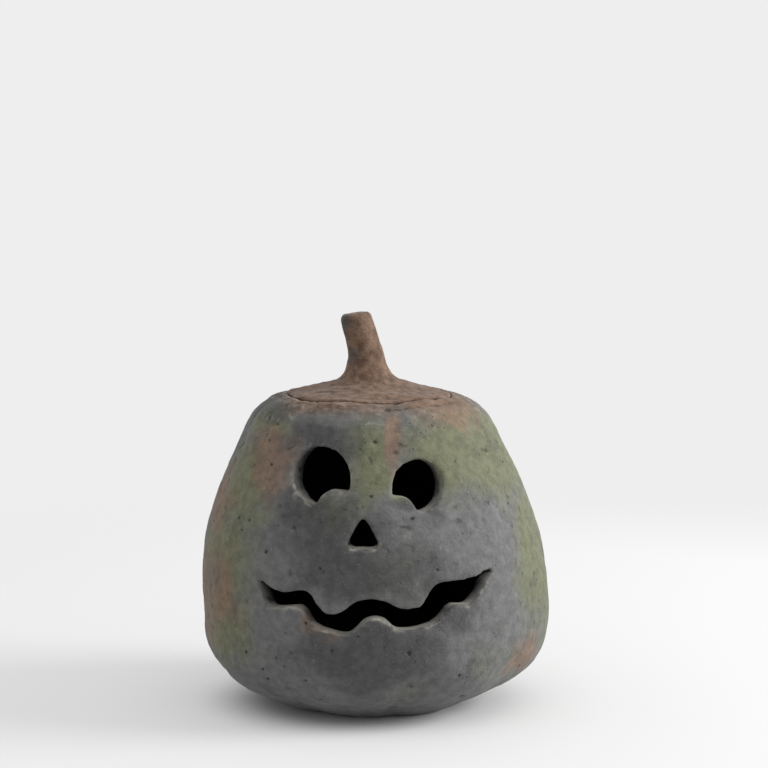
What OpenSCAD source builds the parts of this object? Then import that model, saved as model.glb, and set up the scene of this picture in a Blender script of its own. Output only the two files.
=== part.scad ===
// Hollow clay jack-o'-lantern. A thick hand-built body has a face cut through its wall, the crown
// lifts off by its pulled stem, and a battery tea light stands on the floor inside.
// Millimetres, +Z up, the face looks along -Y, the origin is on the ground under the middle.

/* [Body] */
// Widest diameter of the body
body_w = 200; // [185:1:215]
// Height of the clay body under the stem
body_h = 186; // [176:1:196]
// Thickness of the clay wall
wall = 10; // [8:0.5:11]
// Thickness of the rolled slab that is the clay floor
floor_t = 9; // [8:0.5:11]
// Radius of that slab
slab_r = 50; // [48:1:51]

/* [Lid] */
// Radius of the crown where the knife cut meets the outside
lid_r = 48; // [42:1:50]
// How far the slanted knife cut leans inwards over its depth
lid_slant = 7; // [5:1:9]
// Gap that the knife leaves all round the crown
lid_gap = 0.5; // [0.3:0.1:1]

/* [Stem] */
// Radius of the stem at half its height
stem_r = 10; // [8:0.5:11]
// Height of the stem above the crown
stem_h = 38; // [30:1:45]
// How far the cut end leans to the left
stem_lean = 9; // [0:0.5:12]

/* [Feet] */
// Thickness of the felt pads
pad_t = 1; // [0.6:0.1:2]
// Radius of a felt pad
pad_r = 8; // [6:1:10]
// Number of felt pads
pad_count = 3; // [3:1:5]

/* [Tea light] */
// Outer radius of the tea light's case
case_r = 18.5; // [18.5:0.1:20]
// Height of the case up to its rim
case_h = 17; // [16:0.5:18]
// Height of the flame above the rim
flame_h = 16; // [14:0.5:18]
// Wall of the moulded case
case_wall = 1.2; // [1:0.1:1.4]
// Travel of the switch
switch_travel = 3; // [2:0.5:3]

/* [Hidden] */
$fn = 72;
eps = 0.01;

// ---- Smooth curves -----------------------------------------------------------------------------

// A point on the Catmull-Rom curve between b and c
function blend(a, b, c, d, t) =
    (2 * b + (c - a) * t + (2 * a - 5 * b + 4 * c - d) * t * t + (3 * b - a - 3 * c + d) * t * t * t) / 2;

// A curve through every point of an open list, with the given number of steps between two points
function curve(pts, steps) = let (last = len(pts) - 1) concat(
    [for (i = [0 : last - 1], s = [0 : steps - 1])
        blend(pts[max(i - 1, 0)], pts[i], pts[i + 1], pts[min(i + 2, last)], s / steps)],
    [pts[last]]);

// The same for a closed outline
function loop(pts, steps) = let (n = len(pts)) [
    for (i = [0 : n - 1], s = [0 : steps - 1])
        blend(pts[(i + n - 1) % n], pts[i], pts[(i + 1) % n], pts[(i + 2) % n], s / steps)];

// A curve moved sideways to its left by a distance
function beside(pts, distance) = [
    for (i = [0 : len(pts) - 1])
        let (run = pts[min(i + 1, len(pts) - 1)] - pts[max(i - 1, 0)], way = run / norm(run))
            pts[i] + distance * [-way[1], way[0]]];

// ---- Body profile ------------------------------------------------------------------------------

// From the foot, round the belly and in over the shoulder, as parts of half the width and the height
belly = [
    [0.52, 0], [0.67, 0.036], [0.845, 0.09], [0.96, 0.18], [1, 0.31], [0.982, 0.46],
    [0.9, 0.64], [0.767, 0.81], [0.68, 0.888], [0.6, 0.928], [0.5, 0.95], [0.36, 0.968], [0.24, 0.983],
    [0.15, 1]
];
profile_steps = 3;
foot_z = pad_t;
floor_z = foot_z + floor_t;
outer = curve([for (p = belly) [p[0] * body_w / 2, foot_z + p[1] * body_h]], profile_steps);
inner = [for (p = beside(outer, wall)) if (p[1] > floor_z + 1 && p[0] > lid_r / 2) p];
floor_r = inner[0][0] - 2;
roof_z = inner[len(inner) - 1][1] + 1;
crown_z = foot_z + body_h;
cut_z = lookup(-lid_r, [for (p = outer) if (p[1] > body_h / 2) [-p[0], p[1]]]);

// Radius of the outside at a height
function body_r(z) = lookup(z, [for (p = outer) [p[1], p[0]]]);

module body_solid()
    rotate_extrude() polygon(concat([[0, foot_z]], outer, [[0, crown_z]]));

module cavity()
    rotate_extrude() polygon(concat([[0, floor_z], [floor_r, floor_z]], inner, [[0, roof_z]]));

// The slanted knife cut that frees the crown, made wider by a gap
module knife_cone(gap) {
    slope = lid_slant / wall;
    depth = 2 * wall;
    rise = crown_z - cut_z + wall;
    translate([0, 0, cut_z - depth])
        cylinder(h = depth + rise, r1 = lid_r + gap - slope * depth, r2 = lid_r + gap + slope * rise);
}

// ---- Face --------------------------------------------------------------------------------------

// Outlines as seen from the front, [x, z] in millimetres
left_eye = [-28.7, 140.5];
left_eye_r = [15.9, 15.4];
left_bite = [-21.4, 123];
left_bite_r = 10.9;

right_eye = [24.9, 135.5];
right_eye_r = [13.9, 13.5];
right_bite = [15.8, 121];
right_bite_r = 9.3;

nose = [[-5.5, 119.8], [-10.5, 113], [-14, 106.5], [-12, 104.4], [1, 104.4], [2.8, 106.5], [-0.5, 113]];

upper_lip = [
    [-64, 85], [-58, 80], [-50, 78], [-41, 80], [-35, 79], [-31, 73], [-26, 68.5], [-19, 69],
    [-10, 75], [-3, 77], [6, 76], [14, 72], [22, 71], [27, 73], [31, 79], [35, 84],
    [44, 85], [55, 85.5], [62, 88.5], [68, 90.5]
];
lower_lip = [
    [63, 84], [58, 76], [53, 72], [44, 72], [39, 67], [33, 63], [22, 60.5], [13, 61],
    [7, 66], [0, 67.5], [-6, 65], [-13, 58.5], [-24, 59.5], [-34, 62.5], [-38, 69],
    [-42, 72], [-52, 70], [-59, 70.5], [-62, 77]
];
lip_steps = 3;

// The cut starts inside the cavity and ends outside the wall
cut_near = 45;
cut_far = body_w / 2 + 12;

// A front-view point carried along its radius to the plane where the cut starts
function towards_axis(p) = [cut_near * p[0] / sqrt(pow(body_r(p[1]), 2) - p[0] * p[0]), p[1]];

// Cuts an outline through the wall, with level upper and lower faces and with sides towards the axis
module face_cut(outline)
    translate([0, -cut_near, 0]) rotate([90, 0, 0])
        linear_extrude(height = cut_far - cut_near, scale = [cut_far / cut_near, 1], slices = 1)
            polygon([for (p = outline) towards_axis(p)]);

function oval(middle, radii) = [for (a = [0 : 15 : 345]) middle + [radii[0] * cos(a), radii[1] * sin(a)]];

// An oval whose lower corner nearest the nose is drawn out to a point
function eye(middle, radii, towards_nose) = concat(
    [middle + [towards_nose * radii[0], -radii[1] / 2]],
    [for (a = [0 : 10 : 290]) middle + [towards_nose * radii[0] * cos(a), radii[1] * sin(a)]]);

module eye_cut(middle, radii, towards_nose, bite, bite_r) difference() {
    face_cut(eye(middle, radii, towards_nose));
    face_cut(oval(bite, [bite_r, bite_r]));
}

// ---- Clay pieces -------------------------------------------------------------------------------

module pumpkin_shell() color([0.37, 0.37, 0.33]) difference() {
    body_solid();
    cavity();
    // The hole's flat sides stand just outside the round slab
    cylinder(h = floor_z + eps, r = slab_r / cos(180 / $fn));
    knife_cone(lid_gap);
    eye_cut(left_eye, left_eye_r, 1, left_bite, left_bite_r);
    eye_cut(right_eye, right_eye_r, -1, right_bite, right_bite_r);
    face_cut(loop(nose, lip_steps));
    face_cut(loop(concat(upper_lip, lower_lip), lip_steps));
}

// The rolled slab that closes the bottom, joined to the coiled wall with slip
module base_slab() color([0.33, 0.32, 0.3])
    translate([0, 0, foot_z]) cylinder(h = floor_t, r = slab_r);

// The crown, which lifts out of its slanted cut
module lid() color([0.5, 0.43, 0.38]) difference() {
    intersection() {
        body_solid();
        knife_cone(0);
    }
    cavity();
}

// A ring of points round a centre, tilted about Y by an angle
function ring(centre, r, tilt, sides) = [for (i = [0 : sides - 1])
    let (a = 360 * i / sides) centre + [r * cos(a) * cos(tilt), r * sin(a), -r * cos(a) * sin(tilt)]];

// A closed skin over a stack of rings
module skin(rings) {
    sides = len(rings[0]);
    levels = len(rings);
    polyhedron(
        points = [for (r = rings) for (p = r) p],
        faces = concat(
            [[for (i = [0 : sides - 1]) i]],
            [for (k = [0 : levels - 2], i = [0 : sides - 1])
                let (a = k * sides, b = a + sides, j = (i + 1) % sides) [a + i, b + i, b + j, a + j]],
            [[for (i = [sides - 1 : -1 : 0]) (levels - 1) * sides + i]]));
}

// Parts of the height, radius as parts of the stem's own, and parts of the lean
stem_shape = [
    [0, 1.5, 0.3], [0.05, 1.42, 0.34], [0.11, 1.28, 0.38], [0.2, 1.16, 0.41], [0.36, 1.04, 0.46],
    [0.6, 0.97, 0.66], [0.78, 0.96, 0.84], [0.9, 0.93, 0.94], [0.97, 0.88, 0.98], [1, 0.76, 1]
];
stem_sides = 28;
stem_tilt = 12;

module stem() color([0.47, 0.4, 0.33]) {
    skin([for (s = stem_shape)
        ring([-stem_lean * s[2], 0, crown_z + stem_h * s[0]], stem_r * s[1], -stem_tilt * s[0], stem_sides)]);
}

pad_inset = 4;

module felt_pads() color("dimgray")
    for (i = [0 : pad_count - 1]) rotate(90 + 360 * i / pad_count)
        translate([slab_r - pad_r - pad_inset, 0, 0]) cylinder(h = pad_t, r = pad_r);

// ---- Tea light, which stands on the clay floor -------------------------------------------------

// Every piece is drawn with its base at zero and then stood on the floor
module on_floor() translate([0, 0, floor_z]) children();

// The battery group sits off centre, to leave room for the switch
battery_x = 1.8;
recess = 0.4;
plate_t = 1.6;
plate_top = recess + plate_t;
snap_gap = 0.2;
plate_r = case_r - case_wall - snap_gap;
door_r = 11;
door_gap = 0.3;
door_rim = 0.95;
well_r = 12.3;
well_wall = 1.2;
board_z = 7;
board_t = 1;
cell_r = 10;
cell_t = 3.2;
cell_z = plate_top + door_rim + 0.05;
lug_r = 12;
lug_angle = 24;
lug_gap = 0.2;
lock_turn = 45;
// The roof is dished: distances in from the case's outside, and down from its rim
dish = [[0, 0.8], [0.8, 0], [2, 0.4], [5, 1.2]];
hole_drop = 1.6;
roof_t = 1.5;
corner_drop = 2.2;
neck_r = 4.9;
neck_gap = 0.3;
strip_t = 0.3;
slider_x = -14.5;
slider_w = 2.2;
slider_l = 3.4;
slot_clear = 0.3;

module light_case() color("ivory") on_floor() {
    inside_r = case_r - case_wall;
    hole_r = neck_r + neck_gap;
    deep = dish[len(dish) - 1];
    rotate_extrude() polygon(concat(
        [[inside_r, 0], [case_r, 0]],
        [for (d = dish) [case_r - d[0], case_h - d[1]]],
        [[hole_r, case_h - hole_drop], [hole_r, case_h - hole_drop - roof_t],
            [case_r - deep[0], case_h - deep[1] - roof_t], [inside_r, case_h - corner_drop]]));
}

// The thin moulded flame hangs in the hole of the roof by a flange: radius and part of the height
flame_z = case_h - hole_drop - roof_t - 0.2;
flame_side = [[4.6, 0.18], [5.6, 0.28], [5.9, 0.42], [5.3, 0.6], [3.9, 0.78], [2, 0.93]];
flame_wall = 1;
flame_tip = 3;
flange_w = 1.7;
flange_t = 1.2;

module flame() color("moccasin") on_floor() translate([0, 0, flame_z]) {
    tall = flame_h + case_h - flame_z;
    side = [for (p = flame_side) [p[0], p[1] * tall]];
    rotate_extrude() polygon(concat(
        [[neck_r - flame_wall, -flange_t], [neck_r + flange_w, -flange_t],
            [neck_r + flange_w, 0], [neck_r, 0], [neck_r, roof_t]],
        side, [[0, tall], [0, tall - flame_tip]],
        [for (i = [len(side) - 1 : -1 : 0]) side[i] - [flame_wall, flame_wall / 2]]));
}

// A round LED with a domed end stands over the board on its two legs
led_r = 2.5;
led_l = 6;
led_rim = 0.4;
led_rim_t = 1;
leg_l = 6;
leg_r = 0.3;
leg_pitch = 2.54;

module led() color("gold") on_floor() {
    leg_z = board_z + board_t;
    body_z = leg_z + leg_l - 0.5;
    translate([0, 0, body_z]) cylinder(h = led_l, r = led_r);
    translate([0, 0, body_z + led_l]) sphere(r = led_r - eps);
    translate([0, 0, body_z]) cylinder(h = led_rim_t, r = led_r + led_rim);
    for (side = [-1, 1]) translate([side * leg_pitch / 2, 0, leg_z]) cylinder(h = leg_l, r = leg_r);
}

module circuit_board() color("seagreen") on_floor()
    translate([battery_x, 0, board_z]) cylinder(h = board_t, r = well_r + 1);

// A sprung cup under the board presses on the middle of the cell
cup_low_r = 2;
cup_high_r = 5;
cup_rim_r = 6;

module negative_contact() color("silver") on_floor() translate([battery_x, 0, 0]) {
    cell_top = cell_z + cell_t;
    rotate_extrude() polygon([
        [0, cell_top], [cup_low_r, cell_top], [cup_high_r, board_z - strip_t], [cup_rim_r, board_z - strip_t],
        [cup_rim_r, board_z], [cup_high_r - 0.2, board_z], [cup_low_r - 0.1, cell_top + strip_t],
        [0, cell_top + strip_t]
    ]);
}

// A bent strip touches the rim of the cell and runs out under the board
strip_w = 4.6;
strip_foot = 1.4;
dimple = 0.4;

module positive_contact() color("silver") on_floor() translate([battery_x + cell_r + 0.05, -strip_w / 2, 0]) {
    translate([dimple, 0, cell_z]) cube([strip_t, strip_w, board_z - cell_z]);
    translate([dimple, 0, board_z - strip_t]) cube([strip_foot, strip_w, strip_t]);
    translate([0, strip_w / 4, cell_z + 1]) cube([dimple + eps, strip_w / 2, 1]);
}

// The cell's upper face is stepped in from its can
cell_step = [1.2, 0.5];

module coin_cell() color("lightgray") on_floor() translate([battery_x, 0, cell_z]) {
    cylinder(h = cell_t - cell_step[1], r = cell_r);
    cylinder(h = cell_t, r = cell_r - cell_step[0]);
}

// A wedge of a ring, centred on +X
module sector(r_in, r_out, half_angle, h) {
    reach = 2 * r_out;
    linear_extrude(height = h) intersection() {
        difference() {
            circle(r = r_out);
            circle(r = r_in);
        }
        polygon([[0, 0], [reach, -reach * tan(half_angle)], [reach, reach * tan(half_angle)]]);
    }
}

// The snap-in floor of the case, with the battery well, the way in for the door's lugs and the switch slot
slot_w = slider_w + 2 * slot_clear;
slot_l = slider_l + switch_travel + 2 * slot_clear;

module base_plate() color("ivory") on_floor() difference() {
    union() {
        translate([0, 0, recess]) cylinder(h = plate_t, r = plate_r);
        translate([battery_x, 0, recess]) cylinder(h = board_z - recess, r = well_r + well_wall);
    }
    translate([battery_x, 0, plate_top]) cylinder(h = board_z, r = well_r);
    translate([battery_x, 0, 0]) cylinder(h = board_z, r = door_r + door_gap);
    for (side = [0, 180]) translate([battery_x, 0, 0]) rotate(lock_turn + side)
        sector(door_r - 1, lug_r + lug_gap, lug_angle / 2 + 2, board_z);
    translate([slider_x - slot_w / 2, -slot_l / 2, 0]) cube([slot_w, slot_l, board_z]);
}

// The battery door turns an eighth of a turn with a coin to free its two lugs
coin_slot = [16, 2, 0.8];
lug_rise = 0.15;

module battery_door() color("ivory") on_floor() translate([battery_x, 0, 0]) difference() {
    union() {
        translate([0, 0, recess]) cylinder(h = plate_t, r = door_r);
        translate([0, 0, recess]) cylinder(h = plate_t + door_rim, r = door_r - door_gap);
        for (side = [0, 180]) rotate(side) translate([0, 0, plate_top + lug_rise])
            sector(door_r - 1, lug_r, lug_angle / 2, door_rim - lug_rise);
    }
    translate([-coin_slot[0] / 2, -coin_slot[1] / 2, 0])
        cube([coin_slot[0], coin_slot[1], recess + coin_slot[2]]);
}

// The switch is drawn in its off place and slides towards +Y. Its knob is held by a wider foot over the plate
slider_foot = [3.6, 6, 1];
knob_drop = 0.2;
foot_rise = 0.1;

module switch_slider() color("dimgray") on_floor() translate([slider_x, -switch_travel / 2, 0]) {
    translate([-slider_w / 2, -slider_l / 2, recess + knob_drop])
        cube([slider_w, slider_l, plate_t + foot_rise]);
    translate([-slider_foot[0] / 2, -slider_foot[1] / 2, plate_top + foot_rise]) cube(slider_foot);
}

pumpkin_shell();
base_slab();
lid();
stem();
felt_pads();
light_case();
flame();
led();
circuit_board();
negative_contact();
positive_contact();
coin_cell();
base_plate();
battery_door();
switch_slider();
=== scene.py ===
"""A hollow clay jack-o'-lantern: hand-built body, lift-off crown, pulled stem and a tea light inside."""
import math

import bmesh
import bpy
import numpy as np
from bpy.props import FloatProperty, IntProperty, PointerProperty, StringProperty
from mathutils import Matrix, Vector, noise
from mathutils.bvhtree import BVHTree


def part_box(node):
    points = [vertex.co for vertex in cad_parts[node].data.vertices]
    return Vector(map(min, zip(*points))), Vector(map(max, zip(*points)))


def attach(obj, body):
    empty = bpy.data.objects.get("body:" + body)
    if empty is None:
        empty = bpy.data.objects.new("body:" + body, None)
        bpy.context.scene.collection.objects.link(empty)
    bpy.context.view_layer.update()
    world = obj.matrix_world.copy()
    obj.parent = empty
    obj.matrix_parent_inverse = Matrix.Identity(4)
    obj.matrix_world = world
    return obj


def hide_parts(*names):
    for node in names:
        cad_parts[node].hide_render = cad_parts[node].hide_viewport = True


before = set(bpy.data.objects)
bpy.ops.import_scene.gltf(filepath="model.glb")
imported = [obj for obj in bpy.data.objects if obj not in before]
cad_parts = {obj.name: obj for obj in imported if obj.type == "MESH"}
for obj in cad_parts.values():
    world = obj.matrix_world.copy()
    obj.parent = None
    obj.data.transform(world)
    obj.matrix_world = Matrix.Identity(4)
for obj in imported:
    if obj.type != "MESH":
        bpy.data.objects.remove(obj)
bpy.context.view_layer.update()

bl_info = {
    "name": "Clay Jack-o'-Lantern",
    "version": (1, 0, 0),
    "blender": (4, 5, 0),
    "location": "3D View > Sidebar > Lantern",
    "description": "Models a smoke-fired clay pumpkin lantern round its engineering frame",
    "category": "Object",
}

# ---- Places taken from the frame, in metres ------------------------------------------------------

MM = 0.001
SHELL_LO, SHELL_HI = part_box("pumpkin_shell")
LID_LO, LID_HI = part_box("lid")
BODY_R = (SHELL_HI.x - SHELL_LO.x) / 2
FOOT_Z = SHELL_LO.z
CROWN_Z = LID_HI.z
BODY_H = CROWN_Z - FOOT_Z
FLOOR_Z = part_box("light_case")[0].z
LID_R = (LID_HI.x - LID_LO.x) / 2

# From the foot, round the belly and in over the shoulder, as parts of the radius and of the height
BELLY = (
    (0.52, 0), (0.67, 0.036), (0.845, 0.09), (0.96, 0.18), (1, 0.31), (0.982, 0.46), (0.9, 0.64),
    (0.767, 0.81), (0.68, 0.888), (0.6, 0.928), (0.5, 0.95), (0.36, 0.968), (0.24, 0.983), (0.15, 1),
)

# Sideways drift of the hand-built body's middle, as height and shift in millimetres
LEAN = (
    (0, 0.5), (14, -0.3), (24, 1.9), (56, 1.7), (80, 0.6), (110, -0.5), (147, -1.3), (168, -2.1),
    (190, -2.6),
)

# The face from the front, x and z in millimetres. Each eye has its middle, its radii, the way to the nose,
# and the middle and the radius of the bite out of its lower edge
LEFT_EYE = ((-28.7, 140.5), (15.9, 15.4), 1, (-21.4, 123), 10.9)
RIGHT_EYE = ((24.9, 135.5), (13.9, 13.5), -1, (15.8, 121), 9.3)
NOSE = ((-5.5, 119.8), (-10.5, 113), (-14, 106.5), (-12, 104.4), (1, 104.4), (2.8, 106.5), (-0.5, 113))
UPPER_LIP = (
    (-64, 85), (-58, 80), (-50, 78), (-41, 80), (-35, 79), (-31, 73), (-26, 68.5), (-19, 69),
    (-10, 75), (-3, 77), (6, 76), (14, 72), (22, 71), (27, 73), (31, 79), (35, 84),
    (44, 85), (55, 85.5), (62, 88.5), (68, 90.5),
)
LOWER_LIP = (
    (63, 84), (58, 76), (53, 72), (44, 72), (39, 67), (33, 63), (22, 60.5), (13, 61),
    (7, 66), (0, 67.5), (-6, 65), (-13, 58.5), (-24, 59.5), (-34, 62.5), (-38, 69),
    (-42, 72), (-52, 70), (-59, 70.5), (-62, 77),
)

# The stem: height over the crown, sideways place and radius in millimetres. It flares into the crown
STEM = (
    (-4.3, -2.6, 26), (-2.6, -2.8, 21.5), (-0.7, -3.1, 17.6), (1.4, -3.4, 14.9), (4.4, -3.5, 12.8),
    (8.4, -3.8, 11.4), (12.5, -4, 10.5), (17.3, -4.9, 9.9), (22.3, -6.2, 9.5), (27, -7.6, 9.4),
    (31.5, -8.8, 9.2), (34.7, -9.5, 8.8), (36.6, -9.9, 7.8), (37.2, -10, 6.4),
)
# How far the stem's top end leans over, in degrees
TILT = 9

# The stage, in metres and radians: the point that the light and the camera turn to, the floor, and the
# light's diameter, distance, height and turn to the front from due right
MIDDLE = Vector((0, 0, 0.1))
FLOOR_R = 8.0
LIGHT_SIZE, LIGHT_REACH = 1.1, 2.0
LIGHT_RISE, LIGHT_TURN = math.radians(22), math.radians(4)
# The camera looks past that point, so the object stands low in the frame and a little left of its middle
AIM_ABOVE, AIM_RIGHT = 0.0829, 0.0064

# The vertex layers that the clay materials read: depth in the wall, and how far edges stand out and corners
# sink in, which become worn edges and painted shade in the corners
LAYERS = ("depth", "wear")


# ---- Settings ------------------------------------------------------------------------------------

class ClaySettings(bpy.types.PropertyGroup):
    """Shape of the clay"""
    wall: FloatProperty(name="Wall", description="Thickness of the clay wall", default=10 * MM,
                        unit="LENGTH", subtype="DISTANCE")
    cut_slant: FloatProperty(name="Cut slant", description="How far the crown's cut leans in over the wall",
                             default=7 * MM, unit="LENGTH", subtype="DISTANCE")
    cut_gap: FloatProperty(name="Cut gap", description="Width that the knife left round the crown",
                           default=0.5 * MM, unit="LENGTH", subtype="DISTANCE")
    lobes: IntProperty(name="Lobes", description="Number of lobes round the body", default=8, min=5, max=12)
    first_groove: FloatProperty(name="First groove", description="Turn of the first groove from the front",
                                default=math.radians(12), unit="ROTATION", subtype="ANGLE")
    grain: FloatProperty(name="Mesh grain", description="Spacing of the finished clay surface's mesh",
                         default=1.2 * MM, unit="LENGTH", subtype="DISTANCE")


class ColourSettings(bpy.types.PropertyGroup):
    """Colours of the finishes, as sRGB hex"""
    smoke: StringProperty(name="Smoke", description="Clay blackened in the smoke", default="#424242")
    ash: StringProperty(name="Ash", description="Lighter grey clay", default="#5f5f5f")
    moss: StringProperty(name="Moss", description="Green-grey patches", default="#61634a")
    umber: StringProperty(name="Umber", description="Brown patches", default="#715b4b")
    earth: StringProperty(name="Earth", description="Darker brown of the crown", default="#553f31")
    # Pale grey of worn edges and dusty specks, and painted top light on upward-facing cut ledges
    dust_and_top_light: StringProperty(name="Dust", description="Worn edges and dust", default="#918e84")
    # Near-black of the inside and the deep cut walls: smoke-blackened clay, darkened further as painted shade
    # where the unlit inside lies; it also paints the shade in the creases
    soot_and_shade: StringProperty(name="Soot", description="Inside of the body", default="#0c0b0a")


class StageSettings(bpy.types.PropertyGroup):
    """Camera and light"""
    distance: FloatProperty(name="Distance", description="Camera distance", default=1.4,
                            unit="LENGTH", subtype="DISTANCE")
    elevation: FloatProperty(name="Elevation", description="Height of the camera as an angle",
                             default=math.radians(9.5), unit="ROTATION", subtype="ANGLE")
    lens: FloatProperty(name="Lens", description="Focal length", default=113.4, unit="CAMERA")
    room: FloatProperty(name="Room", description="Brightness of the white room", default=0.855)
    open_side: FloatProperty(name="Open side", default=0.92,
                             description="Brightness of the room's open side, as a part of the room")
    ceiling: FloatProperty(name="Ceiling", description="Brightness of the ceiling, as a part of the room",
                           default=1.28)
    key: FloatProperty(name="Key", description="Power of the soft light on the right", default=46.0,
                       unit="POWER")


# ---- Curves --------------------------------------------------------------------------------------

def blend(a, b, c, d, t):
    """A point on the Catmull-Rom curve between b and c."""
    return (2 * b + (c - a) * t + (2 * a - 5 * b + 4 * c - d) * t * t + (3 * b - a - 3 * c + d) * t ** 3) / 2


def curve(points, steps):
    """A smooth open curve through every point."""
    p = [Vector(q) for q in points]
    last = len(p) - 1
    made = [
        blend(p[max(i - 1, 0)], p[i], p[i + 1], p[min(i + 2, last)], s / steps)
        for i in range(last) for s in range(steps)
    ]
    return made + [p[last]]


def loop(points, steps):
    """A smooth closed outline through every point."""
    p = [Vector(q) for q in points]
    n = len(p)
    return [
        blend(p[i - 1], p[i], p[(i + 1) % n], p[(i + 2) % n], s / steps)
        for i in range(n) for s in range(steps)
    ]


def beside(points, distance):
    """The curve moved to its left."""
    made = []
    for i, p in enumerate(points):
        way = (points[min(i + 1, len(points) - 1)] - points[max(i - 1, 0)]).normalized()
        made.append(p + distance * Vector((-way.y, way.x)))
    return made


OUTER = curve([(r * BODY_R, FOOT_Z + h * BODY_H) for r, h in BELLY], 6)
OUTER_Z = [p.y for p in OUTER]
OUTER_R = [p.x for p in OUTER]


def ramp(x, low, high):
    """0 below low, 1 above high and smooth between."""
    t = min(max((x - low) / (high - low), 0), 1)
    return t * t * (3 - 2 * t)


# ---- Clay ----------------------------------------------------------------------------------------

def hand_shape(p, clay):
    """Moves a point of the turned body to where the potter's hands left it."""
    radius = math.hypot(p.x, p.y)
    turn = math.atan2(p.x, -p.y)
    height = p.z / MM
    push = 0.0
    # Grooves between the lobes are deep at the shoulder and under the belly, and faint round the middle
    wave = math.cos(clay.lobes * (turn - clay.first_groove))
    groove = ((1 + wave) / 2) ** 6
    strength = 0.4 + 0.5 * ramp(height, 105, 155) * ramp(height, 184, 166) + 1.5 * ramp(height, 42, 16)
    uneven = 1 + 0.6 * noise.noise(Vector((2 * math.cos(turn), 2 * math.sin(turn), height / 60)))
    push -= MM * groove * strength * uneven
    push -= MM * 0.5 * wave * (0.6 + 1.1 * ramp(height, 60, 15))
    # The shoulder was pressed in a little, and the foot bulges on the left
    push -= MM * 1.3 * ramp(height, 98, 120) * ramp(height, 168, 150)
    left = max(0.0, -math.sin(turn))
    push += MM * 2.2 * left ** 3 * ramp(height, 10, 22) * ramp(height, 50, 34)
    # Slow swellings left by the hands
    push += MM * 1.1 * noise.noise(p / (48 * MM))
    push += MM * 0.45 * noise.noise(p / (21 * MM) + Vector((7, 3, 1)))
    # The knife wandered a little as it freed the crown
    near_cut = math.exp(-((radius - LID_R) / (9 * MM)) ** 2) * ramp(height, 150, 165)
    wander = noise.noise(Vector((1.6 * math.cos(turn), 1.6 * math.sin(turn), 4)))
    wander += 0.4 * noise.noise(Vector((6 * math.cos(turn), 6 * math.sin(turn), 9)))
    push += MM * 2.2 * wander * near_cut
    grown = 1 + push * min(radius / (20 * MM), 1) / max(radius, 1e-6)
    lean = MM * np.interp(height, [h for h, _ in LEAN], [x for _, x in LEAN])
    # The crown was smeared round by the fingers
    on_crown = ramp(height, 165, 176)
    rise = MM * 0.9 * noise.noise(Vector((p.x, p.y, 0)) / (26 * MM)) * on_crown
    smear = noise.noise(Vector((2.2 * math.cos(turn), 2.2 * math.sin(turn), radius / (3.4 * MM))))
    rise += MM * 1.2 * smear * on_crown * ramp(radius, 14 * MM, 22 * MM)
    return Vector((p.x * grown + lean, p.y * grown, p.z + rise))


def spun(profile, steps):
    """A closed solid of revolution from a profile of radius and height that starts and ends on the axis."""
    bm = bmesh.new()
    verts = [bm.verts.new((r, 0, z)) for r, z in profile]
    edges = [bm.edges.new(pair) for pair in zip(verts, verts[1:])]
    bmesh.ops.spin(bm, geom=verts + edges, cent=(0, 0, 0), axis=(0, 0, 1), dvec=(0, 0, 0),
                   angle=2 * math.pi, steps=steps, use_merge=True)
    bmesh.ops.remove_doubles(bm, verts=bm.verts, dist=1e-6)
    bmesh.ops.recalc_face_normals(bm, faces=bm.faces)
    return bm


def made_object(name, bm):
    """Turns a bmesh into an object at the origin."""
    # Spin and extrude leave the faces in another order each run, and a boolean's result depends on it
    bm.faces.sort(key=lambda face: face.calc_center_median().dot(Vector((1, 2.7, 7.1))))
    mesh = bpy.data.meshes.new(name)
    bm.to_mesh(mesh)
    bm.free()
    piece = bpy.data.objects.new(name, mesh)
    bpy.context.scene.collection.objects.link(piece)
    return piece


def settle(piece):
    """Replaces a piece's mesh by what its modifiers make of it."""
    graph = bpy.context.evaluated_depsgraph_get()
    mesh = bpy.data.meshes.new_from_object(piece.evaluated_get(graph))
    piece.modifiers.clear()
    old = piece.data
    piece.data = mesh
    bpy.data.meshes.remove(old)
    mesh.name = piece.name


def modified(piece, kind, **values):
    """Adds a modifier with its values and applies it."""
    modifier = piece.modifiers.new(kind.lower(), kind)
    for key, value in values.items():
        setattr(modifier, key, value)
    settle(piece)


def eye_outline(middle, radii, towards_nose, bite, bite_r):
    """An oval drawn out to a corner beside the nose, with a round bite out of its lower edge."""
    middle = Vector(middle)
    turn = [math.radians(a) for a in range(0, 291, 6)]
    rim = [middle + Vector((towards_nose * radii[0] * math.cos(a), radii[1] * math.sin(a))) for a in turn]
    corner = middle + Vector((towards_nose * radii[0], -radii[1] / 2))
    rim += [rim[-1].lerp(corner, s / 5) for s in range(1, 5)]
    rim += [corner.lerp(rim[0], s / 3) for s in range(3)]
    made = []
    for p in rim:
        ray, back = p - middle, middle - Vector(bite)
        half_b, c, a = ray.dot(back), back.dot(back) - bite_r ** 2, ray.dot(ray)
        inside = half_b ** 2 - a * c
        reach = (-half_b - math.sqrt(inside)) / a if inside > 0 else 1
        made.append(middle + ray * (reach if 0 < reach < 1 else 1))
    return made


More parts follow.
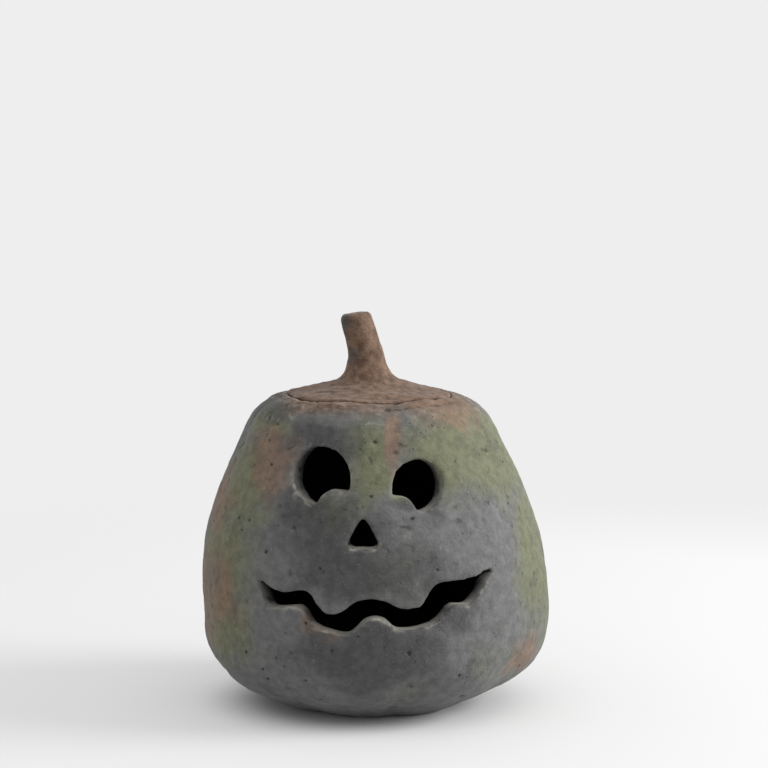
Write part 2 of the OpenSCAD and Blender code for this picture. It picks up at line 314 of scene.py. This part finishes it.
def face_cutter():
    """One solid for all the openings of the face, level above and below and with sides towards the axis."""
    near, far = 45 * MM, BODY_R + 15 * MM
    outlines = [
        eye_outline(*LEFT_EYE), eye_outline(*RIGHT_EYE), loop(NOSE, 4), loop(UPPER_LIP + LOWER_LIP, 4),
    ]
    bm = bmesh.new()
    for outline in outlines:
        rim = []
        for x, z in outline:
            radius = np.interp(z * MM, OUTER_Z, OUTER_R)
            rim.append(bm.verts.new((near * x * MM / math.sqrt(radius ** 2 - (x * MM) ** 2), -near, z * MM)))
        face = bm.faces.new(rim)
        swept = bmesh.ops.extrude_face_region(bm, geom=[face])["geom"]
        moved = [v for v in swept if isinstance(v, bmesh.types.BMVert)]
        bmesh.ops.scale(bm, vec=(far / near, 1, 1), verts=moved)
        bmesh.ops.translate(bm, vec=(0, near - far, 0), verts=moved)
    bmesh.ops.triangulate(bm, faces=[f for f in bm.faces if len(f.verts) > 4])
    bmesh.ops.recalc_face_normals(bm, faces=bm.faces)
    return made_object("face_cutter", bm)


def coordinates(mesh):
    """The vertex places of a mesh as an array."""
    co = np.empty(len(mesh.vertices) * 3)
    mesh.vertices.foreach_get("co", co)
    return co.reshape(-1, 3)


def directions(mesh):
    """The vertex normals of a mesh as an array."""
    normals = np.empty(len(mesh.vertices) * 3)
    mesh.vertices.foreach_get("normal", normals)
    return normals.reshape(-1, 3)


def evened(mesh, values, rounds):
    """Averages values over each vertex's neighbours, a number of times."""
    ends = np.empty(len(mesh.edges) * 2, dtype=np.int64)
    mesh.edges.foreach_get("vertices", ends)
    a, b = ends[0::2], ends[1::2]
    count = np.maximum(np.bincount(a, minlength=len(values)) + np.bincount(b, minlength=len(values)), 1)
    values = values.copy()
    for _ in range(rounds):
        for k in range(values.shape[1]):
            column = values[:, k]
            total = np.bincount(a, column[b], len(values)) + np.bincount(b, column[a], len(values))
            values[:, k] = 0.5 * column + 0.5 * total / count
    return values


def edge_wear(mesh, rounds):
    """How far each vertex stands out from its surroundings, in metres, and below 0 in a corner."""
    place = coordinates(mesh)
    return np.sum((place - evened(mesh, place, rounds)) * directions(mesh), axis=1)


def weathered(piece, edge_round, chips):
    """Softens the cut edges, breaks small chips from them and leaves finger marks, crumbs and pits."""
    mesh = piece.data
    place = evened(mesh, coordinates(mesh), edge_round)
    mesh.vertices.foreach_set("co", place.ravel())
    mesh.update()
    normals = directions(mesh)
    wear = np.clip(edge_wear(mesh, 8) / (0.35 * MM), 0, 1)
    push = np.empty(len(place))
    for i, (x, y, z) in enumerate(place):
        p = Vector((x, y, z))
        marks = 0.3 * noise.noise(p / (9 * MM)) + 0.2 * noise.noise(p / (3.6 * MM))
        # Here and there a crumb stands on the surface, or has left a hole
        reaches, centres = noise.voronoi(p / (10 * MM))
        luck = noise.noise(centres[0] * 7.3)
        spot = max(0.0, 1 - reaches[0] / (0.13 + 0.14 * abs(luck)))
        spot = spot * spot * (3 - 2 * spot) * (0.45 if luck > 0.18 else -0.75 if luck < -0.05 else 0)
        broken = max(0.0, noise.noise(p / (5 * MM) + Vector((3, 8, 2)))) + 0.25
        push[i] = MM * (marks + spot - chips * wear[i] * broken)
    place += normals * push[:, None]
    mesh.vertices.foreach_set("co", place.ravel())
    mesh.update()


def stored(mesh, depth, wear):
    """Stores the vertex layers that the clay materials read, and smooths the shading."""
    for name, values in zip(LAYERS, (depth, wear)):
        layer = mesh.attributes.new(name, "FLOAT", "POINT")
        layer.data.foreach_set("value", np.clip(values, -1, 2))
    mesh.shade_smooth()


def mark_surface(piece, skin, wall):
    """Works out how deep in the wall each vertex lies and how far it stands out as an edge or sinks in as a
    corner, and stores both.
    """
    mesh = piece.data
    place = coordinates(mesh)
    depth = np.array([skin.find_nearest(Vector(p))[3] for p in place]) / wall
    # Dust and rubbing show most where an edge looks upwards
    wear = edge_wear(mesh, 6) / (0.3 * MM)
    wear = np.where(wear > 0, wear * np.clip(0.5 + directions(mesh)[:, 2], 0.15, 1.2), wear)
    stored(mesh, depth, wear)


def outer_skin(clay):
    """The outside of the whole body, crown included, for measuring depth in the wall."""
    bm = spun([(0, FOOT_Z)] + [tuple(p) for p in OUTER] + [(0, CROWN_Z)], steps=180)
    for v in bm.verts:
        v.co = hand_shape(v.co, clay)
    tree = BVHTree.FromBMesh(bm)
    bm.free()
    return tree


def clay_piece(name, profile, clay, steps):
    """A solid of revolution shaped by hand."""
    bm = spun(profile, steps)
    for v in bm.verts:
        v.co = hand_shape(v.co, clay)
    return made_object(name, bm)


def thinned(piece, most):
    """Brings a piece under a number of triangles, keeping its edges."""
    count = sum(len(f.vertices) - 2 for f in piece.data.polygons)
    if count > most:
        modified(piece, "DECIMATE", ratio=most / count)


# ---- Materials -----------------------------------------------------------------------------------

def colour(text):
    """An sRGB hex colour as the linear colour that shaders use."""
    def linear(c):
        return c / 12.92 if c <= 0.04045 else ((c + 0.055) / 1.055) ** 2.4
    return tuple(linear(int(text[i:i + 2], 16) / 255) for i in (1, 3, 5)) + (1.0,)


def add(tree, kind, inputs=None, **settings):
    """Adds a node with its settings. An input is a value, a socket to link, or a node whose first output in
    use is linked."""
    made = tree.nodes.new(kind)
    for key, value in settings.items():
        setattr(made, key, value)
    for key, value in (inputs or {}).items():
        if isinstance(value, bpy.types.Node):
            value = next(s for s in value.outputs if s.enabled)
        if isinstance(value, bpy.types.NodeSocket):
            tree.links.new(value, made.inputs[key])
        else:
            made.inputs[key].default_value = value
    return made


def new_material(name):
    """A material with an empty node tree, and the place on the object that its patterns read."""
    material = bpy.data.materials.new(name)
    material.use_nodes = True
    tree = material.node_tree
    tree.nodes.clear()
    return material, tree, add(tree, "ShaderNodeTexCoord").outputs["Object"]


# Brown, green and smoked patches of the firing: centre and reach in millimetres
UMBER_PATCHES = (
    ((13, -70, 163), (9, 26, 24)), ((-58, -58, 150), (18, 34, 24)), ((-92, -30, 122), (17, 40, 26)),
    ((-86, -44, 74), (20, 40, 27)), ((83, -48, 33), (17, 26, 14)), ((48, -38, 172), (28, 30, 13)),
    ((-30, -92, 62), (10, 20, 6)), ((-98, -14, 62), (16, 44, 30)), ((-20, 90, 46), (74, 44, 24)),
    ((80, 50, 100), (30, 50, 26)),
)
MOSS_PATCHES = (
    ((-3, -79, 154), (17, 30, 34)), ((48, -56, 152), (38, 50, 28)), ((72, -34, 148), (44, 66, 30)),
    ((94, -25, 92), (22, 50, 62)), ((-76, -44, 130), (26, 46, 40)), ((-84, -44, 84), (32, 50, 44)),
    ((-84, -44, 50), (26, 46, 26)), ((-56, -35, 168), (18, 34, 14)), ((18, -84, 134), (12, 20, 10)),
    ((-23, -89, 122), (8, 20, 10)), ((-34, 84, 128), (80, 60, 52)), ((70, 60, 50), (50, 60, 34)),
)
SMOKE_PATCHES = (
    ((-33, -70, 160), (27, 28, 14)), ((-24, -92, 108), (36, 30, 26)), ((-6, -96, 46), (52, 40, 24)),
    ((-4, -94, 88), (52, 36, 18)), ((-36, -82, 124), (24, 30, 14)), ((24, -84, 125), (14, 26, 10)),
    ((42, -84, 70), (20, 30, 20)), ((-62, -10, 176), (20, 60, 12)), ((-14, -7, 201), (9, 12, 8)),
    ((-18, -4, 219), (8, 14, 12)), ((-66, 60, 90), (40, 50, 70)), ((36, 74, 148), (60, 50, 34)),
)


def any_patch(tree, place, patches):
    """The strongest of several soft patches, each 1 round its centre and 0 beyond its reach."""
    strongest = 0.0
    for centre, reach in patches:
        shifted = add(tree, "ShaderNodeMapping", {
            "Vector": place, "Location": [-c / r for c, r in zip(centre, reach)],
            "Scale": [1 / (r * MM) for r in reach]})
        away = add(tree, "ShaderNodeVectorMath", {0: shifted}, operation="LENGTH")
        near = add(tree, "ShaderNodeMapRange", {"Value": away, "From Min": 1.15, "From Max": 0.4},
                   interpolation_type="SMOOTHSTEP")
        strongest = add(tree, "ShaderNodeMath", {0: near, 1: strongest}, operation="MAXIMUM")
    return strongest


def smoked_terracotta(name, colours, crown):
    """Smoke-fired terracotta, burnished by hand: dead matt, grey to black, with soft green and brown firing
    patches, a brown dusty bloom on the crown, pale worn edges, painted shade in the creases, a near-black
    inside that is smoke-blackened clay darkened further as painted shade, and painted top light on
    upward-facing cut ledges. crown is where the bloom starts, as two heights in metres."""
    material, tree, place = new_material(name)
    # Firing clouds, hand marks, brush marks and sand, with their sizes in millimetres
    broad, cloudy, brushed, grit = (
        add(tree, "ShaderNodeTexNoise", {
            "Vector": place, "Scale": 1 / (size * MM), "Detail": detail, "Roughness": roughness})
        for size, detail, roughness in ((60, 3, 0.55), (18, 4, 0.6), (5, 4, 0.6), (1.6, 3, 0.7)))
    # The patches' borders wander with a noise of their own
    wandering = add(tree, "ShaderNodeTexNoise", {"Vector": place, "Scale": 1 / (26 * MM), "Detail": 5.0})
    bent = add(tree, "ShaderNodeVectorMath", {0: wandering.outputs["Color"], 1: (0.5, 0.5, 0.5)},
               operation="SUBTRACT")
    bent = add(tree, "ShaderNodeVectorMath", {0: bent, "Scale": 40 * MM}, operation="SCALE")
    bent = add(tree, "ShaderNodeVectorMath", {0: place, 1: bent}, operation="ADD")
    umber, moss, smoke = (any_patch(tree, bent, p) for p in (UMBER_PATCHES, MOSS_PATCHES, SMOKE_PATCHES))
    # Dust lies on the crown and ends over the shoulder, with a border that wanders less
    border = add(tree, "ShaderNodeMix", {"Factor": 0.3, "A": place, "B": bent}, data_type="VECTOR")
    height = add(tree, "ShaderNodeSeparateXYZ", {"Vector": border}).outputs["Z"]
    # Pinholes, and the faint level strokes of the burnishing pebble
    pinhole = add(tree, "ShaderNodeTexVoronoi", {"Vector": place, "Scale": 1 / (4.5 * MM)})
    laid = add(tree, "ShaderNodeMapping", {"Vector": place, "Scale": (1, 1, 7)})
    stroke = add(tree, "ShaderNodeTexNoise", {
        "Vector": laid, "Scale": 1 / (14 * MM), "Detail": 3.0, "Roughness": 0.6})
    depth, wear = (
        add(tree, "ShaderNodeAttribute", attribute_name=layer).outputs["Fac"] for layer in LAYERS)
    normal = add(tree, "ShaderNodeNewGeometry").outputs["Normal"]
    upwards = add(tree, "ShaderNodeSeparateXYZ", {"Vector": normal}).outputs["Z"]

    # Each share runs smoothly from 0 to 1 between two levels of what it reads
    shares = {
        share: add(tree, "ShaderNodeMapRange", {"Value": value, "From Min": low, "From Max": high},
                   interpolation_type="SMOOTHSTEP")
        for share, value, low, high in (
            ("mossy", broad, 0.55, 0.75), ("clouded", cloudy, 0.48, 0.75), ("earthy", brushed, 0.2, 0.8),
            ("bloom", height, *crown), ("brushed", brushed, 0.3, 0.72), ("specks", grit, 0.62, 0.74),
            ("rubbed", wear, 0.3, 1.1), ("patchy", cloudy, 0.36, 0.7), ("hollow", wear, -0.08, -0.5),
            ("sooted_and_shaded", depth, 0.2, 0.9), ("level", upwards, 0.5, 0.95), ("cut", depth, 0.08, 0.3),
            ("outer", depth, 1.1, 0.5), ("pinhole", pinhole, 0.2, 0.08), ("pitted", cloudy, 0.5, 0.58))
    }
    for share, limit in (("rubbed", "patchy"), ("level", "cut"), ("level", "outer"), ("pinhole", "pitted")):
        shares[share] = add(tree, "ShaderNodeMath", {0: shares[share], 1: shares[limit]},
                            operation="MULTIPLY")
    earth = add(tree, "ShaderNodeMix", {
        "Factor": shares["earthy"], "A": colour(colours.earth), "B": colour(colours.umber)}, data_type="RGBA")
    fine = add(tree, "ShaderNodeMix", {
        "Factor": shares["brushed"], "A": (0.8, 0.8, 0.8, 1), "B": (1.17, 1.17, 1.17, 1)}, data_type="RGBA")

    # Firing colours first, then the fine brushing, dusty specks, rubbed edges, painted shade in the creases,
    # the near-black inside with painted shade, and painted top light on the upward-facing ledges
    green, brown, black, pale, soot_and_shade = (
        colour(text) for text in (colours.moss, colours.umber, colours.smoke, colours.dust_and_top_light, colours.soot_and_shade))
    skin = colour(colours.ash)
    for share, most, tint, how in (
        (shares["mossy"], 0.4, green, "MIX"), (moss, 0.85, green, "MIX"), (umber, 0.75, brown, "MIX"),
        (shares["clouded"], 0.5, black, "MIX"), (shares["bloom"], 0.95, earth, "MIX"),
        (smoke, 0.85, black, "MIX"), (1.0, 1, fine, "MULTIPLY"), (shares["specks"], 0.4, pale, "MIX"),
        # Creases and corners: painted shade, together with smoke that stays in them
        (shares["rubbed"], 1, pale, "MIX"), (shares["hollow"], 0.7, soot_and_shade, "MIX"),
        # The inside and the deep cut walls: smoke-blackened clay with painted shade, near black;
        # upward-facing cut ledges: painted top light in the pale colour
        (shares["sooted_and_shaded"], 1, soot_and_shade, "MIX"), (shares["level"], 0.6, pale, "MIX"),
    ):
        if most < 1:
            share = add(tree, "ShaderNodeMath", {0: share, 1: most}, operation="MULTIPLY")
        skin = add(tree, "ShaderNodeMix", {"Factor": share, "A": skin, "B": tint}, data_type="RGBA",
                   blend_type=how)

    relief = 0.0
    for mark, amount in ((brushed, 0.5), (grit, 0.55), (stroke, 0.5), (shares["pinhole"], -1.0)):
        relief = add(tree, "ShaderNodeMath", {0: mark, 1: amount, 2: relief}, operation="MULTIPLY_ADD")
    bump = add(tree, "ShaderNodeBump", {"Height": relief, "Strength": 1.0, "Distance": 0.75 * MM})
    roughness = add(tree, "ShaderNodeMapRange", {"Value": brushed, "To Min": 0.82, "To Max": 0.96})
    shader = add(tree, "ShaderNodeBsdfPrincipled", {
        "Base Color": skin, "Roughness": roughness, "Normal": bump, "IOR": 1.45, "Specular IOR Level": 0.3,
        "Sheen Weight": 0.08, "Sheen Roughness": 0.4})
    add(tree, "ShaderNodeOutputMaterial", {"Surface": shader})
    return material


def moulded(name, text, roughness, grain, through):
    """Moulded plastic with a fine spark-eroded grain: even colour, a soft sheen and faint flow marks."""
    material, tree, place = new_material(name)
    flow = add(tree, "ShaderNodeTexNoise", {
        "Vector": place, "Scale": 1 / (9 * MM), "Detail": 2.0, "Roughness": 0.55})
    streaks = add(tree, "ShaderNodeMapRange", {"Value": flow, "From Min": 0.3, "From Max": 0.7},
                  interpolation_type="SMOOTHSTEP")
    base = add(tree, "ShaderNodeMix", {
        "Factor": streaks, "A": colour(text), "B": tuple(0.9 * c for c in colour(text)[:3]) + (1.0,)},
        data_type="RGBA")
    texture = add(tree, "ShaderNodeTexNoise", {
        "Vector": place, "Scale": 1 / grain, "Detail": 2.0, "Roughness": 0.55})
    bump = add(tree, "ShaderNodeBump", {"Height": texture, "Strength": 0.25, "Distance": 0.03 * MM})
    rough = add(tree, "ShaderNodeMapRange", {
        "Value": flow, "To Min": roughness - 0.05, "To Max": roughness + 0.08})
    shader = add(tree, "ShaderNodeBsdfPrincipled", {
        "Base Color": base, "Roughness": rough, "Normal": bump, "IOR": 1.49, "Subsurface Weight": through,
        "Subsurface Scale": 2 * MM})
    add(tree, "ShaderNodeOutputMaterial", {"Surface": shader})
    return material


def plated_steel(name, text, roughness):
    """Nickel-plated pressed steel: bright, with the fine drawn lines of the press."""
    material, tree, place = new_material(name)
    stretched = add(tree, "ShaderNodeMapping", {"Vector": place, "Scale": (1, 12, 1)})
    lines = add(tree, "ShaderNodeTexNoise", {
        "Vector": stretched, "Scale": 1 / (2 * MM), "Detail": 3.0, "Roughness": 0.55})
    rough = add(tree, "ShaderNodeMapRange", {"Value": lines, "To Min": roughness, "To Max": roughness + 0.18})
    bump = add(tree, "ShaderNodeBump", {"Height": lines, "Strength": 0.15, "Distance": 0.02 * MM})
    base = add(tree, "ShaderNodeMix", {
        "Factor": lines, "A": colour(text), "B": tuple(0.8 * c for c in colour(text)[:3]) + (1.0,)},
        data_type="RGBA")
    shader = add(tree, "ShaderNodeBsdfPrincipled", {
        "Base Color": base, "Metallic": 1.0, "Roughness": rough, "Normal": bump})
    add(tree, "ShaderNodeOutputMaterial", {"Surface": shader})
    return material


def laminate(name):
    """Glass-epoxy circuit board under green solder mask, with the weave just showing."""
    material, tree, place = new_material(name)
    weave = add(tree, "ShaderNodeTexWave", {"Vector": place, "Scale": 1 / (2 * MM), "Distortion": 1.0})
    base = add(tree, "ShaderNodeMix", {
        "Factor": weave.outputs["Fac"], "A": colour("#1d4a2c"), "B": colour("#255a37")}, data_type="RGBA")
    shader = add(tree, "ShaderNodeBsdfPrincipled", {"Base Color": base, "Roughness": 0.35, "IOR": 1.5})
    add(tree, "ShaderNodeOutputMaterial", {"Surface": shader})
    return material


def cast_epoxy(name):
    """Clear cast epoxy with a warm tint: a glossy dome that bends the light."""
    material, tree, place = new_material(name)
    cloud = add(tree, "ShaderNodeTexNoise", {
        "Vector": place, "Scale": 1 / (3 * MM), "Detail": 1.0, "Roughness": 0.55})
    tint = add(tree, "ShaderNodeMix", {"Factor": cloud, "A": colour("#f2dca0"), "B": colour("#e9c877")},
               data_type="RGBA")
    shader = add(tree, "ShaderNodeBsdfPrincipled", {
        "Base Color": tint, "Roughness": 0.08, "IOR": 1.54, "Transmission Weight": 0.7})
    add(tree, "ShaderNodeOutputMaterial", {"Surface": shader})
    return material


def pressed_felt(name):
    """Pressed wool felt: dark, soft and quite matt, with loose fibres."""
    material, tree, place = new_material(name)
    fibres = add(tree, "ShaderNodeTexNoise", {
        "Vector": place, "Scale": 1 / (0.6 * MM), "Detail": 5.0, "Roughness": 0.8})
    base = add(tree, "ShaderNodeMix", {"Factor": fibres, "A": colour("#2b2826"), "B": colour("#4a4541")},
               data_type="RGBA")
    bump = add(tree, "ShaderNodeBump", {"Height": fibres, "Strength": 0.8, "Distance": 0.2 * MM})
    shader = add(tree, "ShaderNodeBsdfPrincipled", {
        "Base Color": base, "Roughness": 0.95, "Normal": bump, "Sheen Weight": 0.4, "Sheen Roughness": 0.5})
    add(tree, "ShaderNodeOutputMaterial", {"Surface": shader})
    return material


# ---- Operators -----------------------------------------------------------------------------------

class LANTERN_OT_shell(bpy.types.Operator):
    """Model the hollow clay body and cut its face"""
    bl_idname = "lantern.shell"
    bl_label = "Clay Body"

    def execute(self, context):
        clay = context.scene.lantern_clay
        crown_gap = LID_R + clay.cut_gap
        outside = [p for p in OUTER if p.y < CROWN_Z / 2 or p.x > crown_gap + MM]
        cut_z = np.interp(-crown_gap, [-r for r in OUTER_R[len(OUTER) // 2:]], OUTER_Z[len(OUTER) // 2:])
        cut = [Vector((crown_gap - s / 6 * clay.cut_slant, cut_z - s / 6 * clay.wall)) for s in range(7)]
        inside = [p for p in beside(OUTER, clay.wall) if p.y > FLOOR_Z + MM and p.x > cut[-1].x + MM]
        ground = [Vector((s / 4 * outside[0].x, FOOT_Z)) for s in range(4)]
        floor = [Vector((s / 4 * (inside[0].x - 2 * MM), FLOOR_Z)) for s in range(4, -1, -1)]
        profile = [tuple(p) for p in ground + outside + cut + inside[::-1] + floor]
        piece = clay_piece("clay_body", profile, clay, steps=240)
        cutter = face_cutter()
        modified(piece, "BOOLEAN", object=cutter, operation="DIFFERENCE", solver="EXACT")
        bpy.data.meshes.remove(cutter.data)
        modified(piece, "REMESH", mode="VOXEL", voxel_size=clay.grain)
        weathered(piece, edge_round=2, chips=0.8)
        thinned(piece, most=190000)
        mark_surface(piece, outer_skin(clay), clay.wall)
        piece.data.materials.append(smoked_terracotta(
            "smoked_terracotta", context.scene.lantern_colours, crown=(170 * MM, 178 * MM)))
        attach(piece, "pumpkin")
        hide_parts("pumpkin_shell", "base_slab")
        return {"FINISHED"}


class LANTERN_OT_crown(bpy.types.Operator):
    """Model the crown that lifts out of the body"""
    bl_idname = "lantern.crown"
    bl_label = "Crown"

    def execute(self, context):
        clay = context.scene.lantern_clay
        top = [p for p in OUTER if p.y > CROWN_Z / 2 and p.x < LID_R - 0.5 * MM][::-1]
        cut_z = np.interp(-LID_R, [-r for r in OUTER_R[len(OUTER) // 2:]], OUTER_Z[len(OUTER) // 2:])
        cut = [Vector((LID_R - s / 6 * clay.cut_slant, cut_z - s / 6 * clay.wall)) for s in range(7)]
        under = [p for p in beside(OUTER, clay.wall) if p.y > CROWN_Z / 2 and 3 * MM < p.x < cut[-1].x - MM]
        profile = [(0, CROWN_Z)] + [tuple(p) for p in top + cut + under] + [(0, under[-1].y)]
        piece = clay_piece("clay_crown", profile, clay, steps=160)
        modified(piece, "REMESH", mode="VOXEL", voxel_size=0.7 * MM)
        weathered(piece, edge_round=3, chips=1.1)
        thinned(piece, most=60000)
        mark_surface(piece, outer_skin(clay), clay.wall)
        piece.data.materials.append(smoked_terracotta(
            "dusted_terracotta", context.scene.lantern_colours, crown=(150 * MM, 170 * MM)))
        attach(piece, "crown")
        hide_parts("lid")
        return {"FINISHED"}


class LANTERN_OT_stem(bpy.types.Operator):
    """Model the pulled stem that is luted to the crown"""
    bl_idname = "lantern.stem"
    bl_label = "Stem"

    def execute(self, context):
        clay = context.scene.lantern_clay
        rings = curve([(CROWN_Z + z * MM, x * MM, r * MM) for z, x, r in STEM], 4)
        bm = bmesh.new()
        bmesh.ops.create_circle(bm, cap_ends=True, segments=48, radius=rings[0].z)
        bmesh.ops.translate(bm, vec=(rings[0].y, 0, rings[0].x), verts=bm.verts)
        face = bm.faces[:][0]
        for below, above in zip(rings, rings[1:]):
            swept = bmesh.ops.extrude_face_region(bm, geom=[face])["geom"]
            face = next(f for f in swept if isinstance(f, bmesh.types.BMFace))
            verts = list(face.verts)
            bmesh.ops.scale(bm, vec=(above.z / below.z,) * 3, verts=verts,
                            space=Matrix.Translation((-below.y, 0, -below.x)))
            bmesh.ops.rotate(bm, cent=(below.y, 0, below.x), verts=verts,
                             matrix=Matrix.Rotation(-math.radians(TILT / len(rings)), 3, "Y"))
            bmesh.ops.translate(bm, vec=(above.y - below.y, 0, above.x - below.x), verts=verts)
        bmesh.ops.recalc_face_normals(bm, faces=bm.faces)
        piece = made_object("clay_stem", bm)
        modified(piece, "REMESH", mode="VOXEL", voxel_size=0.6 * MM)
        weathered(piece, edge_round=3, chips=0.5)
        # All of it lies on the outside and has no cut edge
        plain = np.zeros(len(piece.data.vertices))
        stored(piece.data, depth=plain, wear=plain)
        piece.data.materials.append(smoked_terracotta(
            "pulled_terracotta", context.scene.lantern_colours, crown=(150 * MM, 170 * MM)))
        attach(piece, "crown")
        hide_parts("stem")
        return {"FINISHED"}


class LANTERN_OT_pads(bpy.types.Operator):
    """Model the felt pads under the foot"""
    bl_idname = "lantern.pads"
    bl_label = "Felt Pads"

    def execute(self, context):
        lo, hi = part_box("felt_pads")
        pad_r = 8 * MM
        ring = 38 * MM
        bm = bmesh.new()
        for k in range(3):
            turn = math.radians(90 + 120 * k)
            made = bmesh.ops.create_cone(bm, cap_ends=True, segments=48, radius1=pad_r, radius2=pad_r,
                                         depth=hi.z - lo.z)
            bmesh.ops.translate(bm, verts=made["verts"],
                                vec=(ring * math.cos(turn), ring * math.sin(turn), (lo.z + hi.z) / 2))
        rims = [e for e in bm.edges if abs(e.verts[0].co.z - e.verts[1].co.z) < 1e-6]
        bmesh.ops.bevel(bm, geom=rims, offset=0.3 * MM, offset_type="OFFSET", affect="EDGES", segments=3,
                        profile=0.5, material=-1)
        bmesh.ops.recalc_face_normals(bm, faces=bm.faces)
        piece = made_object("felt_feet", bm)
        piece.data.materials.append(pressed_felt("pressed_felt"))
        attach(piece, "pumpkin")
        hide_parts("felt_pads")
        return {"FINISHED"}


class LANTERN_OT_tea_light(bpy.types.Operator):
    """Finish the pieces of the tea light"""
    bl_idname = "lantern.tea_light"
    bl_label = "Tea Light"

    def execute(self, context):
        case = moulded("moulded_polypropylene", "#e9e2cf", roughness=0.4, grain=0.5 * MM, through=0.2)
        steel = plated_steel("nickel_plated_strip", "#c4c2bc", roughness=0.25)
        finishes = {
            "light_case": case, "base_plate": case, "battery_door": case,
            "flame": moulded("frosted_polypropylene", "#f1dfb8", roughness=0.55, grain=0.4 * MM, through=0.6),
            "switch_slider": moulded("moulded_abs", "#242424", roughness=0.5, grain=0.4 * MM, through=0.0),
            "led": cast_epoxy("cast_epoxy"),
            "circuit_board": laminate("solder_masked_laminate"),
            "negative_contact": steel, "positive_contact": steel,
            "coin_cell": plated_steel("pressed_steel_can", "#cfcfcd", roughness=0.3),
        }
        for node, material in finishes.items():
            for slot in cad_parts[node].material_slots:
                slot.material = material
        return {"FINISHED"}


class LANTERN_OT_stage(bpy.types.Operator):
    """Set up the floor, the white room, the soft light and the camera"""
    bl_idname = "lantern.stage"
    bl_label = "Stage"

    def execute(self, context):
        scene = context.scene
        stage = scene.lantern_stage
        white = (stage.room,) * 3 + (1.0,)
        # A bright ceiling and white paper behind, and a darker open side in front
        world = bpy.data.worlds.new("white_room")
        world.use_nodes = True
        tree = world.node_tree
        tree.nodes.clear()
        way = add(tree, "ShaderNodeTexCoord").outputs["Generated"]
        lit = add(tree, "ShaderNodeVectorMath", {0: way, 1: (0.5, 0.16, 0.85)}, operation="DOT_PRODUCT")
        shade = add(tree, "ShaderNodeMapRange", {
            "Value": lit, "From Min": -0.6, "From Max": 1.0, "To Min": stage.room * stage.open_side,
            "To Max": stage.room * stage.ceiling}, interpolation_type="SMOOTHSTEP")
        seen = add(tree, "ShaderNodeLightPath").outputs["Is Camera Ray"]
        paper = add(tree, "ShaderNodeMix", {"Factor": seen, "A": shade, "B": white}, data_type="RGBA")
        surround = add(tree, "ShaderNodeBackground", {"Color": paper})
        add(tree, "ShaderNodeOutputWorld", {"Surface": surround})
        scene.world = world

        bm = bmesh.new()
        bmesh.ops.create_circle(bm, cap_ends=True, segments=96, radius=FLOOR_R)
        floor = made_object("floor", bm)
        material, tree, place = new_material("white_paint_with_glow")
        length = add(tree, "ShaderNodeVectorMath", {0: place}, operation="LENGTH")
        # Painted light: the floor glows a little from just outside the foot, which lifts the shade round it,
        # and wholly far away, where it meets the white backdrop
        near, far = (
            add(tree, "ShaderNodeMapRange", {"Value": length, "From Min": start, "From Max": end},
                interpolation_type="SMOOTHSTEP")
            for start, end in ((0.06, 0.11), (0.3, 0.85)))
        near = add(tree, "ShaderNodeMath", {0: near, 1: 0.35}, operation="MULTIPLY")
        share = add(tree, "ShaderNodeMath", {0: near, 1: far}, operation="MAXIMUM")
        paint = add(tree, "ShaderNodeBsdfDiffuse", {"Color": (0.65, 0.65, 0.65, 1)})
        glow = add(tree, "ShaderNodeEmission", {"Color": white})
        surface = add(tree, "ShaderNodeMixShader", {0: share, 1: paint, 2: glow})
        add(tree, "ShaderNodeOutputMaterial", {"Surface": surface})
        floor.data.materials.append(material)

        light = bpy.data.lights.new("soft_light", "AREA")
        light.energy = stage.key
        light.shape = "DISK"
        light.size = LIGHT_SIZE
        lamp = bpy.data.objects.new("soft_light", light)
        level = LIGHT_REACH * math.cos(LIGHT_RISE)
        lamp.location = (level * math.cos(LIGHT_TURN), -level * math.sin(LIGHT_TURN),
                         LIGHT_REACH * math.sin(LIGHT_RISE) + MIDDLE.z)
        lamp.rotation_euler = (MIDDLE - lamp.location).to_track_quat("-Z", "Y").to_euler()
        scene.collection.objects.link(lamp)

        camera = bpy.data.cameras.new("camera")
        camera.lens = stage.lens
        camera.sensor_width = 36
        eye = bpy.data.objects.new("camera", camera)
        scene.collection.objects.link(eye)
        towards = Vector((0, -math.cos(stage.elevation), math.sin(stage.elevation)))
        up = Vector((0, math.sin(stage.elevation), math.cos(stage.elevation)))
        eye.location = MIDDLE + stage.distance * towards
        framed = MIDDLE + AIM_ABOVE * up + Vector((AIM_RIGHT, 0, 0))
        eye.rotation_euler = (framed - eye.location).to_track_quat("-Z", "Y").to_euler()
        scene.camera = eye
        scene.view_settings.view_transform = "Standard"
        return {"FINISHED"}


class LANTERN_PT_panel(bpy.types.Panel):
    """Lists the lantern's pieces"""
    bl_idname = "LANTERN_PT_panel"
    bl_label = "Clay Lantern"
    bl_space_type = "VIEW_3D"
    bl_region_type = "UI"
    bl_category = "Lantern"

    def draw(self, context):
        for group in (context.scene.lantern_clay, context.scene.lantern_colours, context.scene.lantern_stage):
            box = self.layout.box()
            for name in group.__annotations__:
                box.prop(group, name)
        for operator in OPERATORS:
            self.layout.operator(operator.bl_idname)


OPERATORS = (LANTERN_OT_stage, LANTERN_OT_shell, LANTERN_OT_crown, LANTERN_OT_stem, LANTERN_OT_pads,
             LANTERN_OT_tea_light)
CLASSES = (ClaySettings, ColourSettings, StageSettings, *OPERATORS, LANTERN_PT_panel)


def register():
    """Registers the classes and hangs the settings on the scene."""
    for cls in CLASSES:
        bpy.utils.register_class(cls)
    bpy.types.Scene.lantern_clay = PointerProperty(type=ClaySettings)
    bpy.types.Scene.lantern_colours = PointerProperty(type=ColourSettings)
    bpy.types.Scene.lantern_stage = PointerProperty(type=StageSettings)


def unregister():
    """Takes the settings and the classes away again."""
    del bpy.types.Scene.lantern_stage
    del bpy.types.Scene.lantern_colours
    del bpy.types.Scene.lantern_clay
    for cls in reversed(CLASSES):
        bpy.utils.unregister_class(cls)


def main():
    """Builds every piece."""
    register()
    for operator in OPERATORS:
        space, name = operator.bl_idname.split(".")
        getattr(getattr(bpy.ops, space), name)()


if __name__ == "__main__":
    main()
